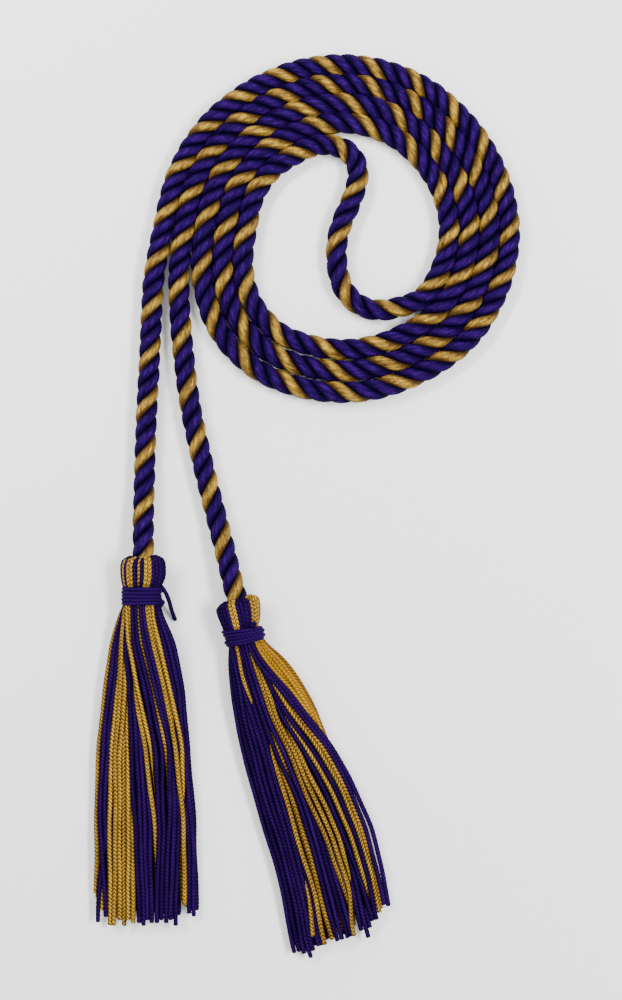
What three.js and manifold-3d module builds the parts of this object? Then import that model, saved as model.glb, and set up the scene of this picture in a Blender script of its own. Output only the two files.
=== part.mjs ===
// Honor cord: one twisted rope laid flat in a round coil, with a tassel at each end.
// Millimetres, +Z up. The cord lies on Z = 0, and the origin is on the floor under its middle.

import * as THREE from 'three';
import { mergeVertices } from 'three/addons/utils/BufferGeometryUtils.js';
import Module from 'manifold-3d';

const wasm = await Module();
wasm.setup();

// Rope
const ROPE_THICKNESS = 6.9;
const ROPE_WIDTH = 6.1;
const ROPE_SIDES = 12;
const RUN_GAP = 0.3;

// Coil, about a centre of its own
const COIL_CENTRE = [9.9, 91.4];
const COIL_RADIUS = 57.75;
const COIL_STEP = 20;

// Tassels
const TASSEL_LENGTH = 122;
const HEM_WIDTH = 35.6;
const HEAD_THICKNESS = 13;
const LOCK_COUNT = 12;
const LOCK_SIDES = 6;
const LOCK_FILL = 1.25;
const LOCK_FLATNESS = 0.6;
const BACKING_REACH = 0.95;
const BACKING_SIDES = 20;
const LOCK_FLOOR_GAP = 0.25;

// Binding: a thin cord wound round the neck of the tassel and knotted
const BINDING_CORD = 1.2;
const BINDING_TURNS = 5;
const BINDING_SIDES = 24;
const TURN_POINTS = 3;
const KNOT_RADIUS = 1.3;
const TAIL_THICKNESS = 1.5;
const TAIL_SIDES = 8;
const TAIL_STEPS = 10;

// What a piece keeps clear of the piece that it passes through
const SEAT_CLEARANCE = 0.3;

const PURPLE = 0x34166e;
const DARK_PURPLE = 0x2b115c;

// Route of the rope where it isn't coiled: chosen places of its middle, head to coil and back.
// The height is left out where the rope lies flat on the floor.
const FLAT = ROPE_THICKNESS / 2;
const HEAD_HEIGHT = HEAD_THICKNESS / 2 - 0.3;

const LEFT_RUN = [
  [-53.2, -20.3, HEAD_HEIGHT],
  [-53.2, -15.8, HEAD_HEIGHT],
  [-53.3, -7.6, 5.2],
  [-53.2, 1.7, 3.9],
  [-52.9, 14.9],
  [-52.3, 31.4],
  [-51.5, 46.2],
  [-50.8, 61.1],
  [-50.0, 74.2],
];

const MIDDLE_LOOP = [
  [10.2, 118.7],
  [14.2, 116.8],
  [16.8, 113.5],
  [17.6, 109.2],
  [16.7, 104.3],
  [14.7, 99.0],
  [12.4, 93.7],
  [10.8, 88.1],
  [10.4, 82.5],
  [11.1, 76.6],
  [12.9, 71.3],
  [15.8, 67.7],
  [20.1, 65.2],
  [25.1, 64.4],
  [31.4, 65.5],
];

const RIGHT_RUN = [
  [-41.4, 80.2],
  [-41.6, 67.7],
  [-40.6, 54.5],
  [-38.8, 38.6],
  [-36.0, 23.4],
  [-32.5, 8.6],
  [-28.9, -5.3, 3.9],
  [-25.9, -16.8, 5.0],
  [-23.5, -26.7, HEAD_HEIGHT],
  [-22.6, -30.4, HEAD_HEIGHT],
  [-21.6, -34.6, HEAD_HEIGHT],
];

// One turn of the coil, clockwise from its left side. The radius of the outermost run is a share
// of the coil's radius, and the pitch from run to run a share of a run and its gap.
const COIL_ROWS = [
  { radius: 0.983, pitch: 1.08 },
  { radius: 0.954, pitch: 1.03 },
  { radius: 0.937, pitch: 1.00 },
  { radius: 0.926, pitch: 1.00 },
  { radius: 0.931, pitch: 1.00 },
  { radius: 0.943, pitch: 1.00 },
  { radius: 0.956, pitch: 1.00 },
  { radius: 0.963, pitch: 1.00 },
  { radius: 0.980, pitch: 1.01 },
  { radius: 1.000, pitch: 1.04 },
  { radius: 1.000, pitch: 1.05 },
  { radius: 0.991, pitch: 1.08 },
  { radius: 0.960, pitch: 1.09 },
  { radius: 0.946, pitch: 1.11 },
  { radius: 0.931, pitch: 1.12 },
  { radius: 0.920, pitch: 1.11 },
  { radius: 0.880, pitch: 1.13 },
  { radius: 0.809, pitch: 1.12 },
];

// The two runs are wound side by side, and these are the directions in which each one ends
const FIRST_RUN_END = 800;
const SECOND_RUN_END = 580;

// Sections of a tassel from its head to its hem. down and skew are shares of the tassel's length,
// left and right of the hem's width, middle and top of the head's thickness. The middle is the
// height where a section is widest, and the floor cuts off what would reach below it.
const LEFT_SECTIONS = [
  { down: 0.000, left: -0.150, right: 0.150, skew: 0, middle: 0.477, top: 0.87 },
  { down: 0.011, left: -0.180, right: 0.176, skew: 0, middle: 0.490, top: 0.94 },
  { down: 0.032, left: -0.206, right: 0.201, skew: 0, middle: 0.500, top: 0.99 },
  { down: 0.059, left: -0.208, right: 0.206, skew: 0, middle: 0.500, top: 1.00 },
  { down: 0.080, left: -0.190, right: 0.171, skew: 0, middle: 0.490, top: 0.95 },
  { down: 0.091, left: -0.162, right: 0.128, skew: 0, middle: 0.480, top: 0.85 },
  { down: 0.143, left: -0.162, right: 0.128, skew: 0, middle: 0.480, top: 0.85 },
  { down: 0.155, left: -0.190, right: 0.162, skew: 0, middle: 0.440, top: 0.85 },
  { down: 0.235, left: -0.266, right: 0.281, skew: 0, middle: 0.330, top: 0.72 },
  { down: 0.311, left: -0.312, right: 0.327, skew: 0, middle: 0.290, top: 0.65 },
  { down: 0.392, left: -0.363, right: 0.385, skew: 0, middle: 0.260, top: 0.60 },
  { down: 0.514, left: -0.417, right: 0.412, skew: 0, middle: 0.230, top: 0.55 },
  { down: 0.649, left: -0.444, right: 0.447, skew: 0, middle: 0.210, top: 0.51 },
  { down: 0.811, left: -0.469, right: 0.493, skew: 0, middle: 0.190, top: 0.48 },
  { down: 1.000, left: -0.481, right: 0.505, skew: 0, middle: 0.170, top: 0.45 },
];

const RIGHT_SECTIONS = [
  { down: 0.000, left: -0.150, right: 0.140, skew: 0.000, middle: 0.477, top: 0.87 },
  { down: 0.011, left: -0.190, right: 0.150, skew: 0.003, middle: 0.490, top: 0.94 },
  { down: 0.032, left: -0.218, right: 0.155, skew: 0.008, middle: 0.500, top: 0.99 },
  { down: 0.059, left: -0.218, right: 0.162, skew: 0.012, middle: 0.500, top: 1.00 },
  { down: 0.076, left: -0.200, right: 0.139, skew: 0.012, middle: 0.490, top: 0.95 },
  { down: 0.087, left: -0.169, right: 0.122, skew: 0.012, middle: 0.480, top: 0.85 },
  { down: 0.139, left: -0.193, right: 0.098, skew: 0.012, middle: 0.480, top: 0.85 },
  { down: 0.153, left: -0.218, right: 0.144, skew: 0.011, middle: 0.440, top: 0.85 },
  { down: 0.203, left: -0.273, right: 0.264, skew: 0.005, middle: 0.350, top: 0.75 },
  { down: 0.273, left: -0.329, right: 0.331, skew: 0.000, middle: 0.300, top: 0.67 },
  { down: 0.378, left: -0.364, right: 0.403, skew: 0.000, middle: 0.260, top: 0.60 },
  { down: 0.514, left: -0.387, right: 0.472, skew: 0.000, middle: 0.230, top: 0.55 },
  { down: 0.649, left: -0.392, right: 0.540, skew: -0.011, middle: 0.210, top: 0.51 },
  { down: 0.770, left: -0.412, right: 0.570, skew: -0.027, middle: 0.190, top: 0.48 },
  { down: 0.950, left: -0.463, right: 0.500, skew: -0.054, middle: 0.170, top: 0.45 },
];

// The rows of a table between which the binding sits
const NECK_ROW = 5;

// How far each lock reaches, right to left, as a share of its way from the neck to the hem
const LEFT_REACHES = [0.985, 1.0, 0.99, 1.005, 0.995, 1.0, 0.99, 1.005, 1.0, 0.985, 0.995, 0.98];
const RIGHT_REACHES = [0.97, 0.99, 0.98, 1.0, 1.005, 0.99, 1.0, 1.01, 1.0, 1.015, 1.01, 0.99];

// Loose end of the left binding: shares of the neck's half width, of the tassel's length and
// of the head's thickness
const TAIL_POINTS = [
  { out: 1.20, down: 0.106, height: 0.50 },
  { out: 1.42, down: 0.127, height: 0.40 },
  { out: 1.70, down: 0.160, height: 0.22 },
  { out: 1.90, down: 0.184, height: 0.07 },
];

const UP = new THREE.Vector3(0, 0, 1);

// A path through chosen stations that keeps its section level from end to end
class LevelPath extends THREE.Curve {
  constructor(stations) {
    super();
    this.stations = stations;
  }

  station(share, offset) {
    const last = this.stations.length - 1;
    const index = Math.round(share * last) + offset;
    return this.stations[THREE.MathUtils.clamp(index, 0, last)];
  }

  getPointAt(share) {
    return this.station(share, 0).clone();
  }

  getTangentAt(share) {
    return this.station(share, 1).clone().sub(this.station(share, -1)).normalize();
  }

  computeFrenetFrames(steps) {
    const frames = { tangents: [], normals: [], binormals: [] };
    for (let i = 0; i <= steps; i += 1) {
      const tangent = this.getTangentAt(i / steps);
      const side = new THREE.Vector3().crossVectors(UP, tangent).normalize();
      frames.tangents.push(tangent);
      frames.normals.push(side);
      frames.binormals.push(new THREE.Vector3().crossVectors(tangent, side));
    }
    return frames;
  }
}

// A many-sided section with flats below, above and on both sides
function flatSidedShape(width, thickness, sides) {
  const halfSide = Math.PI / sides;
  const points = [];
  for (let i = 0; i < sides; i += 1) {
    const angle = halfSide * (2 * i + 1);
    points.push(new THREE.Vector2(
      (width / 2 / Math.cos(halfSide)) * Math.cos(angle),
      (thickness / 2 / Math.cos(halfSide)) * Math.sin(angle),
    ));
  }
  return new THREE.Shape(points);
}

function tubeAlong(stations, width, thickness, sides) {
  return new THREE.ExtrudeGeometry(flatSidedShape(width, thickness, sides), {
    steps: stations.length - 1,
    extrudePath: new LevelPath(stations),
  });
}

function place([x, y, z = FLAT]) {
  return new THREE.Vector3(x, y, z);
}

// A place on the coil. The direction grows past one turn as the run winds inwards, two pitches
// to a turn, and the second run lies one pitch inside the first.
function coilPlace(direction, run) {
  const rowsPerTurn = COIL_ROWS.length;
  const index = Math.round(direction / COIL_STEP);
  const turn = Math.floor(index / rowsPerTurn);
  const row = COIL_ROWS[index % rowsPerTurn];
  const pitch = row.pitch * (ROPE_WIDTH + RUN_GAP);
  const radius = row.radius * COIL_RADIUS - pitch * (2 * turn + run);
  const angle = THREE.MathUtils.degToRad(direction);
  return place([
    COIL_CENTRE[0] - radius * Math.cos(angle),
    COIL_CENTRE[1] + radius * Math.sin(angle),
  ]);
}

function coilRun(run, end) {
  const places = [];
  for (let direction = 0; direction <= end; direction += COIL_STEP) {
    places.push(coilPlace(direction, run));
  }
  return places;
}

// The whole rope: up from the left tassel, round the coil to its middle, through the bent loop
// there, back out beside itself and down to the right tassel
const ROUTE = [
  ...LEFT_RUN.map(place),
  ...coilRun(0, FIRST_RUN_END),
  ...MIDDLE_LOOP.map(place),
  ...coilRun(1, SECOND_RUN_END).reverse(),
  ...RIGHT_RUN.map(place),
];

// Booleans work on closed bodies whose shared vertices are merged
function solidOf(geometry) {
  const bare = geometry.clone();
  bare.deleteAttribute('normal');
  bare.deleteAttribute('uv');
  const merged = mergeVertices(bare);
  return new wasm.Manifold(new wasm.Mesh({
    numProp: 3,
    vertProperties: Float32Array.from(merged.attributes.position.array),
    triVerts: Uint32Array.from(merged.index.array),
  }));
}

function geometryOf(solid) {
  const mesh = solid.getMesh();
  const geometry = new THREE.BufferGeometry();
  geometry.setAttribute('position', new THREE.BufferAttribute(mesh.vertProperties, 3));
  geometry.setIndex(new THREE.BufferAttribute(mesh.triVerts, 1));
  geometry.computeVertexNormals();
  return geometry;
}

// The real sizes of one section of a tassel
function sectionOf(row) {
  return {
    along: -row.down * TASSEL_LENGTH,
    skew: -row.skew * TASSEL_LENGTH,
    centre: ((row.left + row.right) / 2) * HEM_WIDTH,
    halfWidth: ((row.right - row.left) / 2) * HEM_WIDTH,
    middle: row.middle * HEAD_THICKNESS,
    rise: (row.top - row.middle) * HEAD_THICKNESS,
  };
}

// How wide and how thick a lock is where it passes a section
function lockSize(section) {
  const arc = (Math.PI / 2) * (section.halfWidth + section.rise);
  const halfWidth = (LOCK_FILL * arc) / LOCK_COUNT / 2;
  return { halfWidth, halfThickness: halfWidth * LOCK_FLATNESS };
}

// A closed body of rings along a tassel: put gives the place of each point of each ring
function ringBody(rings, sides, put) {
  const last = rings.length - 1;
  const geometry = new THREE.CylinderGeometry(1, 1, last, sides, last);
  const vertices = geometry.attributes.position;
  for (let i = 0; i < vertices.count; i += 1) {
    const ring = rings[Math.round(last / 2 - vertices.getY(i))];
    const spot = put(ring, vertices.getX(i), vertices.getZ(i));
    vertices.setXYZ(i, spot.x, spot.y, spot.z);
  }
  return geometry;
}

// What a section's point across and up is in the tassel's frame, where the hem is towards -Y
function sectionPoint(section, across, up, lowest) {
  const shareAcross = across / (2 * section.halfWidth);
  return {
    x: section.centre + across,
    y: section.along + section.skew * shareAcross,
    z: Math.max(section.middle + up, lowest),
  };
}

// The bundle under the locks, inset so that each lock stands half proud of it
function backing(sections) {
  return ringBody(sections, BACKING_SIDES, (section, acrossShare, upShare) => {
    const inset = lockSize(section).halfThickness;
    const across = acrossShare * (section.halfWidth - inset);
    return sectionPoint(section, across, upShare * (section.rise - inset), 0);
  });
}

// A lock of strands that runs from the head, through the neck, to its own end at the hem. Locks
// are spread by angle where a section is round, and by width where it is flat.
function lock(sections, number) {
  const share = number / (LOCK_COUNT - 1);
  return ringBody(sections, LOCK_SIDES, (section, wide, thick) => {
    const size = lockSize(section);
    const halfWidth = section.halfWidth - size.halfThickness;
    const rise = section.rise - size.halfThickness;
    const flatness = THREE.MathUtils.clamp(1 - rise / halfWidth, 0, 1);
    const cosine = THREE.MathUtils.lerp(Math.cos(share * Math.PI), 1 - 2 * share, flatness);
    const sine = Math.sqrt(1 - cosine * cosine);
    const out = new THREE.Vector2(rise * cosine, halfWidth * sine).normalize();
    const across = halfWidth * cosine + out.x * thick * size.halfThickness
      + out.y * wide * size.halfWidth;
    const up = rise * sine + out.y * thick * size.halfThickness - out.x * wide * size.halfWidth;
    return sectionPoint(section, across, up, LOCK_FLOOR_GAP);
  });
}

// A table of sections with the part below the neck drawn out or in to a reach of its own
function withReach(rows, reach) {
  const neck = rows[NECK_ROW + 1].down;
  return rows.map((row) => {
    const below = Math.max(row.down - neck, 0);
    return sectionOf({ ...row, down: Math.min(row.down, neck) + below * reach });
  });
}

// Head and skirt: the strands are folded over the rope's end and hang down to the hem
function strands(rows, reaches, socket) {
  let solid = solidOf(backing(withReach(rows, BACKING_REACH)));
  reaches.forEach((reach, number) => {
    solid = solid.add(solidOf(lock(withReach(rows, reach), number)));
  });
  return geometryOf(solid.subtract(solidOf(socket)));
}

// The hollow in a head that the rope's end sits in, from the route's own last stations
function socketOf(stations) {
  const inner = stations[0];
  const outwards = inner.clone().sub(stations[1]).normalize();
  const bottom = inner.clone().addScaledVector(outwards, SEAT_CLEARANCE);
  const grow = 2 * SEAT_CLEARANCE;
  return tubeAlong(
    [bottom, ...stations.slice(1)],
    ROPE_WIDTH + grow,
    ROPE_THICKNESS + grow,
    ROPE_SIDES,
  );
}

// Where the binding sits, from the two neck rows that it lies between
function neckOf(rows) {
  const upper = sectionOf(rows[NECK_ROW]);
  const lower = sectionOf(rows[NECK_ROW + 1]);
  return {
    x: (upper.centre + lower.centre) / 2,
    y: (upper.along + lower.along) / 2,
    z: upper.middle,
    halfWidth: upper.halfWidth,
    flatness: upper.rise / upper.halfWidth,
    turn: Math.atan2(upper.skew, 2 * upper.halfWidth),
  };
}

// The wound turns: a ring with a rounded rib for each one
function windings(neck) {
  const inner = neck.halfWidth + SEAT_CLEARANCE;
  const height = BINDING_TURNS * BINDING_CORD;
  const bodyRadius = inner + BINDING_CORD / 2;
  const profile = [new THREE.Vector2(inner, height / 2), new THREE.Vector2(inner, -height / 2)];
  for (let turn = 0; turn < BINDING_TURNS; turn += 1) {
    const centre = -height / 2 + (turn + 0.5) * BINDING_CORD;
    for (let i = 0; i <= TURN_POINTS; i += 1) {
      const angle = Math.PI * (i / TURN_POINTS - 0.5);
      profile.push(new THREE.Vector2(
        bodyRadius + (BINDING_CORD / 2) * Math.cos(angle),
        centre + (BINDING_CORD / 2) * Math.sin(angle),
      ));
    }
  }
  profile.push(profile[0].clone());
  const spaced = profile.filter((point, i) => i === 0 || point.distanceTo(profile[i - 1]) > 0.01);
  const ring = new THREE.LatheGeometry(spaced, BINDING_SIDES);
  ring.scale(1, 1, neck.flatness);
  ring.rotateZ(neck.turn);
  return ring.translate(neck.x, neck.y, neck.z);
}

function knot(x, y, z) {
  return new THREE.SphereGeometry(KNOT_RADIUS, 10, 8).translate(x, y, z);
}

// The binding's loose end, which leaves the turns sideways and drops to the floor
function looseEnd(neck) {
  const points = TAIL_POINTS.map((point) => new THREE.Vector3(
    neck.x + point.out * neck.halfWidth,
    -point.down * TASSEL_LENGTH,
    point.height * HEAD_THICKNESS,
  ));
  const stations = new THREE.CatmullRomCurve3(points).getPoints(TAIL_STEPS);
  return tubeAlong(stations, TAIL_THICKNESS, TAIL_THICKNESS, TAIL_SIDES);
}

function fused(pieces) {
  return geometryOf(pieces.map(solidOf).reduce((whole, piece) => whole.add(piece)));
}

function part(name, geometry, color, roughness) {
  const material = new THREE.MeshStandardMaterial({ color, roughness, metalness: 0 });
  const mesh = new THREE.Mesh(geometry, material);
  mesh.name = name;
  return mesh;
}

// A tassel's own frame: its origin is on the floor under the mouth of its head
function tasselFrame(mouth, lean) {
  const frame = new THREE.Group();
  frame.position.set(mouth.x, mouth.y, 0);
  frame.rotation.z = THREE.MathUtils.degToRad(lean);
  frame.updateMatrix();
  return frame;
}

const cord = new THREE.Group();
cord.add(part('rope', tubeAlong(ROUTE, ROPE_WIDTH, ROPE_THICKNESS, ROPE_SIDES), PURPLE, 0.6));

const SOCKET_STATIONS = 3;
const LEFT_LEAN = 0;
const RIGHT_LEAN = 16.9;

function addTassel(side, ending, lean, rows, reaches, bindingExtras) {
  const frame = tasselFrame(ending[1], lean);
  const socket = socketOf(ending).applyMatrix4(frame.matrix.clone().invert());
  const neck = neckOf(rows);
  frame.add(part(`tassel_${side}_strands`, strands(rows, reaches, socket), PURPLE, 0.65));
  const binding = fused([windings(neck), ...bindingExtras(neck)]);
  frame.add(part(`tassel_${side}_binding`, binding, DARK_PURPLE, 0.6));
  cord.add(frame);
}

addTassel('left', ROUTE.slice(0, SOCKET_STATIONS), LEFT_LEAN, LEFT_SECTIONS, LEFT_REACHES, (neck) => [
  knot(neck.x + neck.halfWidth + BINDING_CORD, neck.y - 1.5 * BINDING_CORD, neck.z),
  looseEnd(neck),
]);

addTassel(
  'right',
  ROUTE.slice(-SOCKET_STATIONS).reverse(),
  RIGHT_LEAN,
  RIGHT_SECTIONS,
  RIGHT_REACHES,
  (neck) => [
    knot(
      neck.x + 0.6 * neck.halfWidth,
      neck.y + 2.5 * BINDING_CORD,
      neck.z + neck.flatness * neck.halfWidth + BINDING_CORD,
    ),
  ],
);

export default cord;
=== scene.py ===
import itertools
import math

import bpy
import numpy as np
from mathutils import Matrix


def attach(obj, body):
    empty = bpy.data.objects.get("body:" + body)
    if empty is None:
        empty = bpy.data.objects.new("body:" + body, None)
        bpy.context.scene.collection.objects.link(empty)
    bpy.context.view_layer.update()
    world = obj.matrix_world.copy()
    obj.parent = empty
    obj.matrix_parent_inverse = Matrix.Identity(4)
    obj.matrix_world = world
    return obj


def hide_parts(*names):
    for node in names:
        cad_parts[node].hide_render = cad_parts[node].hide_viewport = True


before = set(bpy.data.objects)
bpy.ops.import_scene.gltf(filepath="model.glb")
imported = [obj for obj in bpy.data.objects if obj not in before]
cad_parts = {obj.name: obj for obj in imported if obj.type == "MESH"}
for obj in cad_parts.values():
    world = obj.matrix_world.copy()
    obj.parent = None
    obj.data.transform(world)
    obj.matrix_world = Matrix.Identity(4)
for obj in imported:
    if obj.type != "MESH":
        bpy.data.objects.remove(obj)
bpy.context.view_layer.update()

# Everything is in metres, with sizes written in millimetres and angles in degrees
MM = 0.001

# Camera, straight above the cord
PIXEL = 0.33 * MM
FRAME_HEIGHT = 1000
AIM_X = 2.0 * MM
AIM_Y = 1.65 * MM
AIM_HEIGHT = 5 * MM
LENS = 85
SENSOR = 36

# Rope
ROPE_THICKNESS = 6.9 * MM
ROPE_WIDTH = 6.1 * MM
RUN_GAP = 0.3 * MM
ROPE_CROWN = 3.66 * MM
ROPE_CREVICE = 2.05 * MM
PLY_EDGE = 59.6
PLY_OUTER_POINTS = 19
PLY_INNER_REACH = [0.5, 0.1, 0.5]
PLY_ROUNDNESS = 0.8
PLY_RINGS_PER_TURN = 15
# Painted shade down in the crevices between the plies, and how fast it deepens towards them
PLY_SHADE = 0.36
PLY_SHADE_POWER = 2.2
ROPE_LIFT = 0.15 * MM
FILAMENT_LEAN = 0.2
STREAK_SHIFT = 500
# Length of a turn beyond the last mark of the lay, and points over which turns even out
LAST_TURN = 17 * MM
LAY_EASE = 30
# Share by which a ply's thickness wanders, and rings from one swell to the next
SWELL_SHARE = 0.012
SWELL_RINGS = 7

# Coil
COIL_CENTRE = (9.9 * MM, 91.4 * MM)
COIL_RADIUS = 57.75 * MM
COIL_STEP = 20

# Tassels
TASSEL_LENGTH = 122 * MM
HEM_WIDTH = 35.6 * MM
HEAD_THICKNESS = 13 * MM
LEFT_LEAN = 0
RIGHT_LEAN = 16.9
STRAND_RADIUS = 0.80 * MM
NECK_STRAND_RADIUS = 0.58 * MM
HEAD_STRAND_RADIUS = 0.68 * MM
# Painted shade on each skirt's gold strands, most on the right where they lie lower between the
# purple ones
LEFT_GOLD_SHADE = -0.02
RIGHT_GOLD_SHADE = -0.09

# Bindings, with sides and step of their cord and of their knots
BINDING_RADIUS = 0.64 * MM
BINDING_STEP = 20
BINDING_TURN = 0.4
BINDING_TONE = 0.1
PLAIN_BINDING = (10, 0.5 * MM)
KNOT_RADIUS = 0.5 * MM
KNOT_SIZE = 0.30
PLAIN_KNOT = (8, 0.4 * MM)
TAIL_RADIUS = 0.74 * MM

# Chain cord, with depths as shares of its radius
CHAIN_PITCH = 1.25 * MM
CHAIN_SLANT = 2 / math.pi
STITCH_DEPTH = 0.15
WORN_STITCH_DEPTH = 0.06
FURROW_DEPTH = 0.3
STITCH_RINGS = 3
STITCH_SIDES = 12
STITCH_SPREAD = (0.85, 1.15)
BLUNT_END = 0.8
LOWEST = 0.05 * MM
# Painted shade on the sides of each strand, towards its neighbours
STRAND_SHADE = 0.36

FLAT = ROPE_THICKNESS / 2

# Route of the rope where it isn't coiled: chosen places of its middle, in millimetres
LEFT_RUN = [
    (-53.2, -20.3, 6.2),
    (-53.2, -15.8, 6.2),
    (-53.3, -7.6, 5.2),
    (-53.2, 1.7, 3.9),
    (-52.9, 14.9),
    (-52.3, 31.4),
    (-51.5, 46.2),
    (-50.8, 61.1),
    (-50.0, 74.2),
]
MIDDLE_LOOP = [
    (10.2, 118.7),
    (14.2, 116.8),
    (16.8, 113.5),
    (17.6, 109.2),
    (16.7, 104.3),
    (14.7, 99.0),
    (12.4, 93.7),
    (10.8, 88.1),
    (10.4, 82.5),
    (11.1, 76.6),
    (12.9, 71.3),
    (15.8, 67.7),
    (20.1, 65.2),
    (25.1, 64.4),
    (31.4, 65.5),
]
RIGHT_RUN = [
    (-41.4, 80.2),
    (-41.6, 67.7),
    (-40.6, 54.5),
    (-38.8, 38.6),
    (-36.0, 23.4),
    (-32.5, 8.6),
    (-28.9, -5.3, 3.9),
    (-25.9, -16.8, 5.0),
    (-23.5, -26.7, 6.2),
    (-22.6, -30.4, 6.2),
    (-21.6, -34.6, 6.2),
]

# One turn of the coil, clockwise from its left side: radius of the outermost run as a share of
# the coil's, and pitch from run to run as a share of a run and its gap
COIL_ROWS = [
    (0.983, 1.08),
    (0.954, 1.03),
    (0.937, 1.00),
    (0.926, 1.00),
    (0.931, 1.00),
    (0.943, 1.00),
    (0.956, 1.00),
    (0.963, 1.00),
    (0.980, 1.01),
    (1.000, 1.04),
    (1.000, 1.05),
    (0.991, 1.08),
    (0.960, 1.09),
    (0.946, 1.11),
    (0.931, 1.12),
    (0.920, 1.11),
    (0.880, 1.13),
    (0.809, 1.12),
]
# Where each of the coil's two runs ends, going round from its left side
FIRST_RUN_END = 800
SECOND_RUN_END = 580

# How the rope is laid: the distance along it, in millimetres, at which the gold ply has come to
# the top that many times
LAY = [
    (2.3, 0),
    (54.1, 3),
    (133.6, 8),
    (210.5, 13),
    (286.4, 18),
    (334.0, 21),
    (388.7, 24),
    (458.7, 28),
    (541.2, 33),
    (602.9, 37),
    (674.2, 41),
    (728.0, 44),
    (773.8, 47),
    (827.6, 50),
    (893.0, 54),
    (975.2, 59),
    (1062.3, 64),
    (1126.6, 68),
    (1217.4, 74),
    (1294.3, 79),
    (1397.6, 85),
]

# Sections of a tassel from head to hem: down, left, right, middle, top. down is a share of its
# length, left and right of the hem's width, middle and top of the head's thickness
LEFT_SECTIONS = [
    (0.000, -0.150, 0.150, 0.477, 0.87),
    (0.011, -0.180, 0.176, 0.490, 0.94),
    (0.032, -0.206, 0.201, 0.500, 0.99),
    (0.059, -0.208, 0.206, 0.500, 1.00),
    (0.080, -0.190, 0.171, 0.490, 0.95),
    (0.091, -0.169, 0.137, 0.480, 0.85),
    (0.143, -0.169, 0.137, 0.480, 0.85),
    (0.155, -0.194, 0.176, 0.440, 0.85),
    (0.235, -0.266, 0.312, 0.330, 0.72),
    (0.311, -0.312, 0.360, 0.290, 0.65),
    (0.392, -0.363, 0.396, 0.260, 0.60),
    (0.514, -0.417, 0.414, 0.230, 0.55),
    (0.649, -0.444, 0.447, 0.210, 0.51),
    (0.811, -0.469, 0.493, 0.190, 0.48),
    (1.000, -0.481, 0.505, 0.170, 0.45),
]
RIGHT_SECTIONS = [
    (0.000, -0.150, 0.140, 0.477, 0.87),
    (0.011, -0.190, 0.150, 0.490, 0.94),
    (0.032, -0.218, 0.155, 0.500, 0.99),
    (0.059, -0.218, 0.162, 0.500, 1.00),
    (0.076, -0.200, 0.139, 0.490, 0.95),
    (0.087, -0.169, 0.122, 0.480, 0.85),
    (0.139, -0.193, 0.098, 0.480, 0.85),
    (0.153, -0.218, 0.144, 0.440, 0.85),
    (0.203, -0.273, 0.264, 0.350, 0.75),
    (0.273, -0.329, 0.331, 0.300, 0.67),
    (0.378, -0.364, 0.403, 0.260, 0.60),
    (0.514, -0.387, 0.472, 0.230, 0.55),
    (0.649, -0.392, 0.540, 0.210, 0.51),
    (0.770, -0.412, 0.570, 0.190, 0.48),
    (0.950, -0.463, 0.500, 0.170, 0.45),
]
# The row where the neck starts, and how far down strands are thin and then at full thickness
NECK_ROW = 5
THIN_TO = 0.15
FULL_FROM = 0.26

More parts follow.
